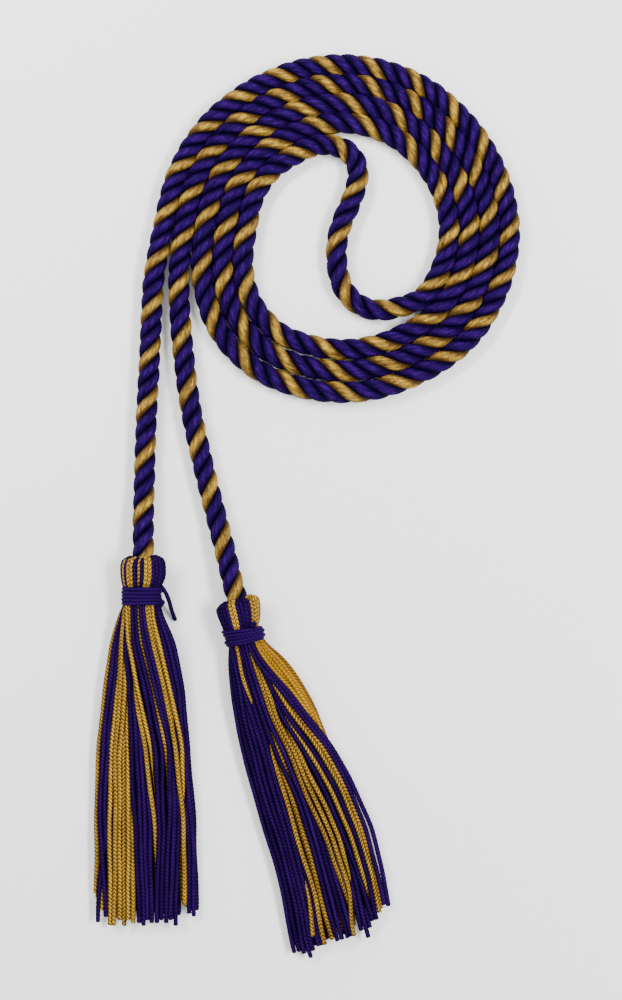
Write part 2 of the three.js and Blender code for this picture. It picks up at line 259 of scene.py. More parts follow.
# Strands that show on the left skirt, left to right: colour, where each lies across at the
# stops below in millimetres from the tassel's middle line, how far under its neighbours it
# passes, between which shares of the length it comes into sight, and how far it reaches. Worn
# gold is rubbed smooth
LEFT_STRANDS = [
    ("gold", [-7.4, -10.3, -13.1, -14.8, -15.6, -16.1], 0.6, (0, 1), 0.931),
    ("gold", [-7.1, -9.8, -12.5, -14.0, -14.6, -14.2], 1.6, (0, 1), 0.975),
    ("purple", [-6.7, -9.6, -11.4, -13.3, -14.9, -12.6], 0.0, (0, 1), 0.99),
    ("purple", [-6.5, -9.0, -10.4, -12.1, -13.0, -15.3], 0.2, (0, 1), 1.003),
    ("gold", [-6.3, -7.6, -8.7, -10.7, -11.1, -11.1], 0.4, (0, 1), 1.012),
    ("gold", [-6.2, -7.3, -7.4, -9.2, -9.6, -9.6], 0.2, (0, 1), 1.01),
    ("gold", [-6.1, -7.2, -6.5, -7.9, -8.2, -8.1], 0.5, (0, 1), 1.0),
    ("gold", [-6.0, -7.2, -6.4, -6.8, -6.7, -6.6], 1.0, (0, 1), 1.012),
    ("gold", [-5.9, -7.1, -6.3, -5.6, -5.3, -5.1], 1.6, (0, 1), 0.995),
    ("gold", [-5.8, -7.0, -6.3, -5.4, -4.0, -3.6], 2.2, (0, 1), 1.005),
    ("purple", [-5.7, -6.4, -4.7, -4.1, -2.5, -1.8], 0.5, (0, 1), 1.005),
    ("purple", [-5.5, -6.2, -4.1, -2.5, -1.1, -0.4], 1.0, (0, 1), 1.01),
    ("purple", [-5.3, -5.9, -3.8, -1.1, 0.4, 1.1], 1.4, (0, 1), 1.0),
    ("purple", [-5.0, -5.5, -3.6, -0.6, 1.8, 2.5], 1.8, (0, 1), 1.008),
    ("gold", [-5.4, -5.1, -1.7, 2.8, 4.0, 4.0], 0.0, (0, 0.545), 0.95),
    ("gold", [-4.4, -4.2, -2.5, 0.8, 4.0, 4.9], 0.4, (0, 0.88), 0.95),
    ("purple", [-3.4, -3.1, 0.2, 4.1, 5.4, 4.2], 0.2, (0, 1), 1.005),
    ("purple", [-2.3, -1.8, 1.9, 5.9, 6.9, 5.7], 0.0, (0, 1), 1.0),
    ("gold", [-1.6, -0.9, 3.2, 7.5, 8.0, 8.0], 0.6, (0, 0.56), 0.95),
    ("purple", [-0.8, 0.2, 4.4, 8.5, 8.4, 7.4], 0.1, (0, 1), 1.008),
    ("purple", [0.1, 1.3, 5.4, 9.0, 9.9, 9.0], 0.8, (0, 1), 0.995),
    ("purple", [0.4, 1.7, 5.8, 9.2, 11.4, 10.7], 1.5, (0, 1), 1.01),
    ("gold", [1.3, 3.0, 7.3, 10.8, 12.9, 13.7], 0.1, (0, 1), 0.958),
    ("gold", [2.2, 4.2, 8.4, 11.9, 13.4, 14.1], 1.5, (0, 0.6), 0.95),
    ("gold", [3.1, 5.1, 8.8, 12.5, 13.2, 13.9], 0.1, (0, 0.65), 0.95),
    ("purple", [4.0, 6.6, 10.1, 12.1, 14.5, 15.3], 1.0, (0, 1), 0.985),
    ("purple", [4.8, 8.2, 11.6, 13.4, 15.7, 16.5], 0.3, (0, 1), 0.99),
    ("purple", [5.5, 9.7, 13.1, 14.1, 16.2, 17.4], 0.6, (0, 1), 0.978),
]
LEFT_STOPS = [0.160, 0.236, 0.371, 0.533, 0.736, 0.950]
# The same for the right skirt
RIGHT_STRANDS = [
    ("purple", [-7.9, -9.4, -11.0, -12.5, -12.9, -13.2, -13.1, -14.3, -16.2], 0.0, (0, 1), 0.975),
    ("purple", [-7.1, -8.3, -9.7, -11.0, -11.4, -11.7, -11.6, -12.8, -14.3], 0.3, (0, 1), 0.97),
    ("purple", [-6.5, -7.3, -8.4, -9.5, -9.8, -10.1, -10.0, -11.2, -12.7], 0.0, (0, 1), 0.985),
    ("purple", [-6.1, -6.6, -7.2, -8.0, -8.2, -8.5, -8.4, -9.6, -11.1], 0.6, (0, 1), 0.995),
    ("purple", [-5.8, -6.0, -6.3, -6.6, -6.7, -6.9, -6.8, -8.1, -9.6], 0.4, (0, 1), 0.98),
    ("gold", [-4.5, -5.5, -5.2, -4.4, -4.2, -4.6, -5.0, -6.0, -7.0], 0.2, (0, 0.27), 0.90),
    ("purple", [-5.2, -4.9, -4.8, -5.2, -5.3, -5.5, -5.4, -6.5, -8.0], 0.8, (0, 1), 0.975),
    ("gold", [-4.9, -4.6, -4.5, -4.9, -5.0, -5.2, -5.3, -6.2, -8.6], 0.1, (0.82, 1), 0.942),
    ("purple", [-3.4, -3.9, -4.1, -4.0, -4.6, -4.8, -4.6, -5.2, -7.2], 1.2, (0, 1), 0.97),
    ("gold", [-2.9, -3.2, -3.4, -3.4, -3.6, -3.5, -3.7, -3.9, -5.6], 0.2, (0.43, 1), 0.972),
    ("purple", [-2.6, -3.0, -3.1, -3.1, -2.2, -0.2, 0.2, -0.3, -1.0], 0.0, (0, 1), 0.97),
    ("gold", [-2.4, -2.7, -2.8, -2.9, -2.6, -1.7, -1.8, -2.2, -2.4], 0.3, (0.51, 1), 0.965),
    ("gold", [-2.1, -2.3, -2.2, -2.2, -1.1, 0.5, 1.0, 1.0, 0.0], 0.8, (0.40, 0.52), 0.95),
    ("purple", [-1.6, -1.9, -1.6, -1.5, 0.1, 1.3, 1.8, 1.3, 0.6], 0.1, (0, 1), 0.975),
    ("purple", [-1.3, -1.4, -0.9, -0.6, 0.9, 2.2, 3.4, 2.9, 2.2], 0.9, (0.60, 1), 0.97),
    ("purple", [-1.1, -1.0, -0.5, 0.2, 1.8, 3.2, 4.6, 4.5, 3.6], 1.3, (0.64, 1), 0.975),
    ("gold", [-0.9, -0.7, -0.3, 0.0, 1.8, 3.2, 5.6, 5.9, 5.6], 0.2, (0.17, 0.87), 0.95),
    ("gold", [-0.6, 0.1, 1.5, 0.5, 3.1, 5.4, 7.6, 7.5, 4.5], 0.4, (0.21, 1), 0.973),
    ("gold", [0.3, 1.5, 2.6, 3.4, 5.0, 7.3, 9.4, 8.4, 6.0], 0.7, (0.40, 0.80), 0.95),
    ("purple", [0.0, 1.0, 2.0, 2.9, 6.6, 9.4, 11.3, 11.8, 11.9], 0.3, (0.24, 1), 0.952),
    ("purple", [0.1, 1.2, 2.4, 3.4, 6.0, 8.4, 9.4, 9.4, 7.2], 1.4, (0.80, 1), 0.97),
    ("purple", [0.2, 1.4, 2.8, 3.9, 6.8, 9.0, 10.4, 10.6, 9.2], 1.2, (0.78, 1), 0.988),
    ("gold", [0.5, 1.7, 3.0, 4.3, 7.8, 11.2, 13.1, 13.8, 13.5], 0.3, (0.33, 0.925), 0.95),
    ("purple", [0.7, 1.6, 2.6, 5.1, 9.5, 12.7, 14.6, 14.9, 13.4], 0.1, (0, 1), 0.955),
    ("purple", [0.9, 1.9, 3.0, 5.4, 9.8, 12.5, 12.6, 12.6, 10.7], 1.5, (0.80, 1), 0.965),
    ("gold", [1.1, 2.2, 3.7, 6.8, 11.2, 14.3, 15.8, 16.0, 14.9], 0.4, (0.24, 1), 0.937),
    ("gold", [1.3, 2.5, 4.4, 7.8, 12.7, 15.6, 17.0, 17.1, 16.1], 0.7, (0.30, 1), 0.93),
    ("purple", [-0.4, 1.3, 5.4, 9.3, 13.9, 16.9, 18.4, 18.4, 16.9], 0.1, (0, 1), 0.925),
    ("purple", [0.6, 2.6, 6.7, 10.5, 14.9, 18.4, 20.5, 20.2, 17.6], 0.0, (0, 1), 0.93),
    ("worn gold", [1.8, 4.2, 8.0, 11.3, 13.4, 13.8, 15.2, 15.4, 14.2], 0.8, (0, 0.42), 0.93),
    ("worn gold", [2.6, 5.5, 9.0, 12.1, 13.8, 14.2, 15.6, 15.8, 14.6], 0.9, (0, 0.43), 0.93),
    ("worn gold", [3.4, 6.8, 10.0, 12.8, 14.2, 14.6, 16.0, 16.2, 15.0], 0.7, (0, 0.44), 0.93),
    ("worn gold", [4.2, 8.0, 10.8, 13.3, 14.5, 15.0, 16.4, 16.6, 15.4], 0.6, (0, 0.44), 0.93),
    ("worn gold", [4.8, 9.1, 11.5, 13.8, 14.8, 15.3, 16.6, 16.8, 15.6], 0.5, (0, 0.44), 0.93),
]
RIGHT_STOPS = [0.145, 0.20, 0.27, 0.35, 0.45, 0.57, 0.70, 0.83, 0.95]
# Turns of each binding: how far down its left and its right side lie and how far out it rides,
# in millimetres, and then the knots and the loose end, from the mouth of the head
LEFT_TURNS = [
    (11.7, 11.8, 0.0),
    (12.9, 12.9, 0.1),
    (14.1, 14.2, 0.0),
    (15.3, 15.2, 0.1),
    (16.5, 16.3, 0.0),
]
LEFT_KNOT = (6.0, -16.4, 8.5)
LEFT_TAIL = [
    (5.2, -10.2, 7.0),
    (6.4, -11.6, 7.4),
    (7.5, -13.4, 7.0),
    (8.4, -15.9, 5.6),
    (9.1, -19.0, 3.2),
    (10.2, -22.4, 0.9),
]
RIGHT_TURNS = [
    (9.7, 12.0, 0.1),
    (10.9, 12.9, 0.6),
    (12.1, 13.6, 0.1),
    (13.3, 14.4, 0.6),
    (14.4, 15.1, 0.0),
]
RIGHT_KNOT = (2.9, -10.2, 11.9)
# Colours of the folded strands on top of each head, left to right, with small g for one that
# has sunk between its neighbours, and how far below the head's mouth each one folds over
LEFT_HEAD = "PPGPGGPgPGGPPPPPP"
LEFT_TOPS = [1.5, 1.0, 1.3, 1.2, 1.1, 0.9, 1.0, 1.4, 1.1, 0.9, 0.8, 0.8, 0.6, 0.4, 0.4, 0.6, 1.2]
RIGHT_HEAD = "PPPPPPGGPPPPGGGGG"
RIGHT_TOPS = [1.3, 0.6, 0.2, 0.0, 0.1, 0.4, 0.0, 0.1, 0.5, 0.2, 0.2, 0.6, 0.8, 0.3, 0.1, 0.3, 0.9]
# Outline of each head from the binding up: down, left and right, in millimetres
LEFT_HEAD_OUTLINE = [
    (12.2, -6.2, 5.2),
    (11.0, -6.7, 5.8),
    (9.6, -7.1, 6.6),
    (7.6, -7.4, 7.3),
    (5.6, -7.5, 7.4),
    (3.7, -7.4, 7.3),
    (2.5, -6.8, 6.9),
]
RIGHT_HEAD_OUTLINE = [
    (12.2, -6.0, 3.9),
    (10.6, -6.6, 4.3),
    (8.9, -7.1, 5.3),
    (6.3, -7.4, 6.3),
    (3.8, -7.6, 6.9),
    (2.1, -7.4, 6.9),
]

# How a head's strand folds over: at which share of the half width, and how far below its top
# in millimetres. Meanwhile it moves in, as far as this share of the mouth's half width
HEAD_FOLD = [(0.90, 0.55), (0.79, 0.12), (0.70, 0.12), (0.63, 0.9), (0.60, 3.5)]
FOLD_START = 0.9
FOLD_SPAN = 0.3
MOUTH_SHARE = 0.75
# How far in the strands lie, in radii, and how much each strand of a bundle makes it swell, in
# millimetres
SUNK_INSET = 2.7
PLAIN_INSET = 1.0
BUNDLE_SWELL = 0.09
WIDEST_BUNDLE = 5
# The lower half of a head: share of gold, and where strands fold over in millimetres
GOLD_BELOW = 0.35
LOWER_TOPS = (0.6, 1.4)
# How unlike each other all its strands are
HEAD_THICKNESSES = (1.0, 1.08)
HEAD_TONE_SPREAD = 0.04

# Strands of the skirts: those below the ones that show, how far these spread from the strand
# that they follow, and sways, each with its size in millimetres and its pace down the skirt
STRANDS_BELOW = 48
STRAND_STATIONS = 60
LONGEST_REACH = 1.04
BELOW_SPREAD = 0.6 * MM
SWAYS = [(0.26, 11), (0.13, 29)]
SWAY_EASE = 0.3
SINK_FADE = 0.11
SINK_SOONER = 0.06
SUNK_THINNING = 0.7
PLAIN_STRAND = (6, 1.8 * MM)
# How unlike each other they are: thickness, turn, tone, and the depth and length of those below
THICKNESSES = (0.98, 1.08)
TURN_SPREAD = 0.35
TONE_SPREAD = 0.05
DEPTHS = (1.2, 4.5)
SHORTER = (-0.03, 0.0)

# How strands settle: the order of those below, the difference of order from which one passes
# under the other, and depths in radii
BELOW_ORDER = 10
LEAST_DIFFERENCE = 0.15
SUNK_ORDER = 3
SUNK_DEPTH = 3.0
BELOW_DEPTH = 1.5
# How far past a section's sides strands may lie from the end of the neck on, and how they fall
# away there
NECK_END = [0.13, 0.16]
SIDE_LEEWAY = 3 * MM
LEAST_ARC = 0.03
SIDE_SHARE = 0.4
SIDE_FALL = 2
# Shares of the way to its place that a strand goes in a step, and of an overlap that each gives
SHOWN_PULL = 0.4
BELOW_PULL = 0.08
RISE_PULL = 0.2
PUSH = 0.7
LOWER_GIVES = 0.92
UPPER_GIVES = 0.08
FIRST_STEPS = 150
STEPS = 30
EVENING_ROUNDS = 3

SEED = 11


# Helpers for lines and meshes

def smooth_line(points, step):
    """A curve through the points, a point every step or so."""
    points = np.asarray(points, float)
    last = len(points) - 1
    spans = np.linalg.norm(np.diff(points, axis=0), axis=1)
    slopes = np.diff(points, axis=0) / spans[:, None]
    tangents = np.empty_like(points)
    tangents[0] = slopes[0]
    tangents[last] = slopes[-1]
    before, after = spans[:-1, None], spans[1:, None]
    tangents[1:last] = (slopes[:-1] * after + slopes[1:] * before) / (before + after)
    pieces = []
    for i, span in enumerate(spans):
        t = np.linspace(0, 1, max(2, int(span / step)), endpoint=False)[:, None]
        pieces.append(
            (2 * t**3 - 3 * t**2 + 1) * points[i]
            + (t**3 - 2 * t**2 + t) * tangents[i] * span
            + (3 * t**2 - 2 * t**3) * points[i + 1]
            + (t**3 - t**2) * tangents[i + 1] * span
        )
    pieces.append(points[last:])
    return np.concatenate(pieces)


def distances(line):
    """How far along a line each of its points lies."""
    return np.concatenate([[0], np.cumsum(np.linalg.norm(np.diff(line, axis=0), axis=1))])


def at_distances(line, along, places):
    """The points of a line at the given distances along it."""
    return np.stack([np.interp(places, along, line[:, k]) for k in range(3)], axis=1)


def unit(vectors):
    """The same directions with a length of one."""
    return vectors / np.maximum(np.linalg.norm(vectors, axis=-1, keepdims=True), 1e-12)


def directions(line):
    """Which way a line runs at each of its points."""
    return unit(np.gradient(line, axis=0))


class Tubes:
    """Tubes gathered for one mesh, each a run of rings with its own material."""

    def __init__(self):
        self.vertices, self.lay, self.tone_and_shade = [], [], []
        self.corners, self.sizes, self.materials = [], [], []
        self.count = 0

    def add(self, rings, lay, tone_and_shade=0.0, material=0):
        """rings and lay are arrays of rings by sides by 3; faces point outwards where the
        sides go round the way that the tube runs."""
        n, sides = rings.shape[:2]
        index = self.count + np.arange(n * sides).reshape(n, sides)
        along, beside = index[:-1], np.roll(index, -1, axis=1)[:-1]
        quads = np.stack([along, beside, np.roll(index, -1, axis=1)[1:], index[1:]], axis=-1)
        self.corners += [quads.reshape(-1), index[0][::-1], index[-1]]
        self.sizes += [np.full((n - 1) * sides, 4), [sides], [sides]]
        self.materials += [np.full((n - 1) * sides + 2, material)]
        self.vertices.append(rings.reshape(-1, 3))
        self.lay.append(lay.reshape(-1, 3))
        self.tone_and_shade.append(np.broadcast_to(tone_and_shade, (n, sides)).reshape(-1))
        self.count += n * sides

    def finish(self, name, materials):
        """The piece that the tubes make, with where each point lies in its cord, and its tone and
        painted shade.
        """
        mesh = bpy.data.meshes.new(name)
        vertices = np.concatenate(self.vertices)
        corners = np.concatenate(self.corners).astype(np.int32)
        sizes = np.concatenate(self.sizes).astype(np.int32)
        mesh.vertices.add(len(vertices))
        mesh.vertices.foreach_set("co", vertices.astype(np.float32).reshape(-1))
        mesh.loops.add(len(corners))
        mesh.loops.foreach_set("vertex_index", corners)
        mesh.polygons.add(len(sizes))
        mesh.polygons.foreach_set("loop_start", np.cumsum(sizes) - sizes)
        mesh.polygons.foreach_set("material_index", np.concatenate(self.materials))
        mesh.polygons.foreach_set("use_smooth", sizes == 4)
        lay = mesh.attributes.new("lay", "FLOAT_VECTOR", "POINT")
        lay.data.foreach_set("vector", np.concatenate(self.lay).astype(np.float32).reshape(-1))
        # Per-point random tone together with painted shade
        tone_and_shade = mesh.attributes.new("tone_and_shade", "FLOAT", "POINT")
        tone_and_shade.data.foreach_set("value", np.concatenate(self.tone_and_shade).astype(np.float32))
        mesh.update(calc_edges=True)
        for material in materials:
            mesh.materials.append(material)
        piece = bpy.data.objects.new(name, mesh)
        bpy.context.scene.collection.objects.link(piece)
        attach(piece, "root")
        return piece


# Materials

class Nodes:
    """Short words for building a material's node tree."""

    def __init__(self, name):
        self.material = bpy.data.materials.new(name)
        self.material.use_nodes = True
        self.tree = self.material.node_tree
        self.shader = self.tree.nodes["Principled BSDF"]

    def link(self, source, target):
        self.tree.links.new(source, target)

    def add(self, kind, **settings):
        node = self.tree.nodes.new(kind)
        for key, value in settings.items():
            setattr(node, key, value)
        return node

    def math(self, operation, a, b=0.0):
        node = self.add("ShaderNodeMath", operation=operation)
        for socket, value in zip(node.inputs, (a, b)):
            if isinstance(value, (int, float)):
                socket.default_value = value
            else:
                self.link(value, socket)
        return node.outputs[0]

    def attribute(self, name):
        return self.add("ShaderNodeAttribute", attribute_name=name)

    def noise(self, vector, scale, detail=2.0, roughness=0.5):
        node = self.add("ShaderNodeTexNoise")
        node.inputs["Scale"].default_value = scale
        node.inputs["Detail"].default_value = detail
        node.inputs["Roughness"].default_value = roughness
        self.link(vector, node.inputs["Vector"])
        return node.outputs["Fac"]

    def stretched(self, vector, scale):
        node = self.add("ShaderNodeMapping")
        node.inputs["Scale"].default_value = scale
        self.link(vector, node.inputs["Vector"])
        return node.outputs["Vector"]

    def ramp(self, factor, stops):
        node = self.add("ShaderNodeValToRGB")
        elements = node.color_ramp.elements
        while len(elements) < len(stops):
            elements.new(0.5)
        for element, (place, color) in zip(elements, stops):
            element.position = place
            element.color = color
        self.link(factor, node.inputs["Fac"])
        return node.outputs["Color"]

    def bump(self, height, strength, distance):
        node = self.add("ShaderNodeBump")
        node.inputs["Strength"].default_value = strength
        node.inputs["Distance"].default_value = distance
        self.link(height, node.inputs["Height"])
        self.link(node.outputs["Normal"], self.shader.inputs["Normal"])

    def shine(self, roughness, specular, sheen, sheen_tint):
        self.shader.inputs["Roughness"].default_value = roughness
        self.shader.inputs["Specular IOR Level"].default_value = specular
        self.shader.inputs["Sheen Weight"].default_value = sheen
        self.shader.inputs["Sheen Roughness"].default_value = 0.4
        self.shader.inputs["Sheen Tint"].default_value = sheen_tint


def ply_material(name, deep, dark, middle, light, specular, sheen):
    """Silky twisted filaments: fine streaks across the ply, nearly along the rope, and painted
    shade down in the grooves between the plies, where the colour goes to deep."""
    nodes = Nodes(name)
    lay = nodes.attribute("lay").outputs["Vector"]
    tone_and_shade = nodes.attribute("tone_and_shade").outputs["Fac"]
    fine = nodes.noise(nodes.stretched(lay, (4.8, 4.8, 0.55)), 1.0, 3.0, 0.62)
    broad = nodes.noise(nodes.stretched(lay, (1.1, 1.1, 0.2)), 1.0, 2.0)
    streaks = nodes.math(
        "ADD", nodes.math("MULTIPLY", fine, 0.6), nodes.math("MULTIPLY", broad, 0.4))
    # Painted shade in the crevices darkens the streaks
    shade = nodes.math("ADD", streaks, tone_and_shade)
    color = nodes.ramp(shade, [(0.12, deep), (0.36, dark), (0.5, middle), (0.66, light)])
    nodes.link(color, nodes.shader.inputs["Base Color"])
    nodes.shine(0.6, specular, sheen, light)
    nodes.bump(streaks, 1.0, 0.4 * MM)
    return nodes.material


def chain_material(name, dark, middle, light, contrast, relief_strength, specular, sheen):
    """Knitted chain cord: two columns of slanted stitches that meet in a V along the strand. Its
    colour has painted shade down between the stitches and painted light on their crowns.
    """
    nodes = Nodes(name)
    lay = nodes.attribute("lay").outputs["Vector"]
    parts = nodes.add("ShaderNodeSeparateXYZ")
    nodes.link(lay, parts.inputs[0])
    side = nodes.math("ABSOLUTE", nodes.math("ARCTAN2", parts.outputs[1], parts.outputs[0]))
    slant = nodes.math("MULTIPLY", side, CHAIN_SLANT)
    phase = nodes.math("FRACT", nodes.math("ADD", parts.outputs[2], slant))
    stitch = nodes.math("SINE", nodes.math("MULTIPLY", phase, math.pi))
    column = nodes.math("ABSOLUTE", nodes.math("SINE", nodes.math("MULTIPLY", side, 1.7)))
    column = nodes.math("POWER", column, 0.5)
    rounding = nodes.math("ADD", nodes.math("MULTIPLY", column, 0.4), 0.6)
    relief = nodes.math("MULTIPLY", stitch, rounding)
    fine = nodes.noise(nodes.stretched(lay, (3.0, 3.0, 3.0)), 1.0, 2.0)
    broad = nodes.noise(nodes.stretched(lay, (0.6, 0.6, 0.19)), 1.0, 2.0)
    height = nodes.math(
        "ADD", nodes.math("MULTIPLY", relief, 0.66), nodes.math("MULTIPLY", fine, 0.40))
    tone_and_shade = nodes.attribute("tone_and_shade").outputs["Fac"]
    # Painted shade between the stitches and painted light on their crowns, plus each point's tone
    # and painted shade
    shade = nodes.math("MULTIPLY", nodes.math("SUBTRACT", height, 0.5), contrast)
    shade = nodes.math("ADD", shade, nodes.math("MULTIPLY", broad, 0.35))
    shade = nodes.math("ADD", nodes.math("ADD", shade, 0.33), tone_and_shade)
    color = nodes.ramp(shade, [(0.12, dark), (0.5, middle), (0.86, light)])
    nodes.link(color, nodes.shader.inputs["Base Color"])
    nodes.shine(0.7, specular, sheen, light)
    nodes.bump(height, relief_strength, 0.35 * MM)
    return nodes.material


# Each ply's first colour is the painted shade deep in the crevices between the plies
PURPLE_PLY = ply_material(
    "purple ply", (0.001, 0.0, 0.009, 1), (0.0036, 0.0, 0.020, 1), (0.0125, 0.0, 0.054, 1),
    (0.044, 0.0018, 0.165, 1), 0.025, 0.0)
GOLD_PLY = ply_material(
    "gold ply", (0.022, 0.009, 0.001, 1), (0.062, 0.028, 0.004, 1), (0.215, 0.126, 0.021, 1),
    (0.73, 0.445, 0.022, 1), 0.1, 0.01)
PURPLE_CHAIN = chain_material(
    "purple chain cord", (0.0005, 0.0, 0.005, 1), (0.0070, 0.0, 0.031, 1),
    (0.027, 0.0008, 0.092, 1), 0.75, 0.5, 0.025, 0.0)
GOLD_CHAIN = chain_material(
    "gold chain cord", (0.020, 0.0065, 0.0005, 1), (0.185, 0.094, 0.009, 1),
    (0.60, 0.355, 0.028, 1), 1.05, 0.5, 0.1, 0.01)
WORN_GOLD_CHAIN = chain_material(
    "worn gold chain cord", (0.045, 0.014, 0.0001, 1), (0.175, 0.077, 0.0006, 1),
    (0.49, 0.26, 0.008, 1), 0.65, 0.3, 0.1, 0.01)
BINDING_CHAIN = chain_material(
    "binding cord", (0.0005, 0.0, 0.006, 1), (0.0075, 0.0, 0.035, 1), (0.026, 0.0008, 0.098, 1),
    0.4, 0.35, 0.025, 0.0)


# Camera, floor and light

def camera_above():
    """A camera that looks straight down on the whole cord."""
    distance = FRAME_HEIGHT * PIXEL * LENS / SENSOR
    bpy.ops.object.camera_add(location=(AIM_X, AIM_Y, AIM_HEIGHT + distance), rotation=(0, 0, 0))
    camera = bpy.context.object
    camera.data.lens = LENS
    camera.data.sensor_fit = "VERTICAL"
    camera.data.sensor_height = SENSOR
    camera.data.clip_start = 0.01
    bpy.context.scene.camera = camera


def pale_floor():
    """The plain floor that the cord lies on."""
    bpy.ops.mesh.primitive_plane_add(size=6, location=(0, 0, 0))
    floor = bpy.context.object
    floor.name = "floor"
    nodes = Nodes("pale floor")
    nodes.shader.inputs["Base Color"].default_value = (0.96, 0.96, 0.96, 1)
    nodes.shader.inputs["Roughness"].default_value = 0.9
    nodes.shader.inputs["Specular IOR Level"].default_value = 0.1
    floor.data.materials.append(nodes.material)


def softbox(x, y, z, size, power):
    """A square light that looks at the middle of the cord."""
    bpy.ops.object.light_add(type="AREA", location=(x, y, z))
    light = bpy.context.object
    light.data.size = size
    light.data.energy = power
    aim = np.array([AIM_X - x, AIM_Y - y, -z])
    light.rotation_euler = (
        math.acos(-aim[2] / np.linalg.norm(aim)), 0, math.atan2(aim[0], -aim[1]))


def studio_light():
    """White surroundings, and a softbox on each side."""
    world = bpy.data.worlds.new("studio")
    world.use_nodes = True
    world.node_tree.nodes["Background"].inputs["Color"].default_value = (1, 1, 1, 1)
    world.node_tree.nodes["Background"].inputs["Strength"].default_value = 0.98
    bpy.context.scene.world = world
    softbox(x=-0.65, y=0.6, z=1.05, size=0.75, power=96)
    softbox(x=0.8, y=0.0, z=1.15, size=0.75, power=68)


# Rope

def coil_place(direction, run):
    """A place on one of the coil's runs, clockwise from its left side."""
    index = round(direction / COIL_STEP)
    turn, row = divmod(index, len(COIL_ROWS))
    radius_share, pitch_share = COIL_ROWS[row]
    pitch = pitch_share * (ROPE_WIDTH + RUN_GAP)
    radius = radius_share * COIL_RADIUS - pitch * (2 * turn + run)
    angle = math.radians(direction)
    return (
        COIL_CENTRE[0] - radius * math.cos(angle),
        COIL_CENTRE[1] + radius * math.sin(angle),
        FLAT,
    )


def coil_run(run, end):
    """A run of the coil from its left side inwards, as far round as its end."""
    return [coil_place(direction, run) for direction in range(0, end + 1, COIL_STEP)]


def chosen(points):
    """Chosen places in millimetres, in metres and at the height of a flat run unless they say."""
    return [(p[0] * MM, p[1] * MM, p[2] * MM if len(p) > 2 else FLAT) for p in points]


ROUTE = [
    *chosen(LEFT_RUN),
    *coil_run(0, FIRST_RUN_END),
    *chosen(MIDDLE_LOOP),
    *coil_run(1, SECOND_RUN_END)[::-1],
    *chosen(RIGHT_RUN),
]


def ply_outline():
    """Section of one ply: a third of the rope, rounded outside and narrowing to its middle.
    Gives each point's angle, its distance from the rope's middle and its painted shade, darkest
    towards the crevices between the plies."""
    edge = math.radians(PLY_EDGE)
    swing = np.linspace(-math.pi / 2, math.pi / 2, PLY_OUTER_POINTS)
    angle = np.concatenate([edge * np.sin(swing), [edge, 0, -edge]])
    bulge = np.concatenate([np.cos(swing) ** PLY_ROUNDNESS, [0, 0, 0]])
    reach = ROPE_CREVICE + (ROPE_CROWN - ROPE_CREVICE) * bulge
    reach[-3:] = np.array(PLY_INNER_REACH) * ROPE_CREVICE
    shade = -PLY_SHADE * np.abs(angle / edge) ** PLY_SHADE_POWER
    shade[-3:] = -PLY_SHADE
    return angle, reach, shade


def turns_along(along):
    """How many times the gold ply has come to the top, at each distance along the rope."""
    marks = np.array(LAY, float)
    marks[:, 0] *= MM
    turns = np.interp(along, marks[:, 0], marks[:, 1])
    pace = (marks[1, 1] - marks[0, 1]) / (marks[1, 0] - marks[0, 0])
    before = along < marks[0, 0]
    turns[before] = np.linspace(marks[0, 1] - pace * marks[0, 0], 0, before.sum())
    beyond = along > marks[-1, 0]
    turns[beyond] = marks[-1, 1] + (along[beyond] - marks[-1, 0]) / LAST_TURN
    window = np.hanning(2 * LAY_EASE + 1)
    padded = np.pad(turns, LAY_EASE, mode="reflect", reflect_type="odd")
    return np.convolve(padded, window / window.sum(), "valid")


def twisted_rope():
    """Three plies twisted along the whole route, two purple and one gold."""
    line = smooth_line(ROUTE, step=0.4 * MM)
    line[:, 2] += ROPE_LIFT
    along = distances(line)
    turns_at = turns_along(along)
    rings = np.arange(turns_at[0], turns_at[-1], 1 / PLY_RINGS_PER_TURN)
    places = np.interp(rings, turns_at, along)
    middle = at_distances(line, along, places)
    forward = directions(middle)
    side = unit(np.cross([0, 0, 1], forward))
    up = np.cross(forward, side)
    tubes = Tubes()
    chance = np.random.default_rng(SEED)
    angle, reach, shade = ply_outline()
    run = distances(middle)
    for ply in range(3):
        turn = 2 * math.pi * (rings + 0.25 + ply / 3)
        swells = chance.normal(0, 1, len(rings) // SWELL_RINGS + 2)
        uneven = np.interp(np.arange(len(rings)) / SWELL_RINGS, np.arange(len(swells)), swells)
        radius = reach[None, :] * (1 + SWELL_SHARE * uneven[:, None])
        whole = turn[:, None] + angle[None, :]
        shell = (
            middle[:, None]
            + (radius * np.cos(whole))[..., None] * side[:, None]
            + (radius * np.sin(whole))[..., None] * up[:, None]
        )
        shell[..., 2] = np.maximum(shell[..., 2], 0)
        filament = whole - FILAMENT_LEAN * turn[:, None]
        along_ply = np.broadcast_to(run[:, None] / MM + STREAK_SHIFT * ply, filament.shape)
        lay = np.stack(
            [radius / MM * np.cos(filament), radius / MM * np.sin(filament), along_ply], axis=-1)
        tubes.add(shell, lay, shade, 1 if ply == 0 else 0)
    rope = tubes.finish("twisted_rope", [PURPLE_PLY, GOLD_PLY])
    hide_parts("rope")


# Tassels

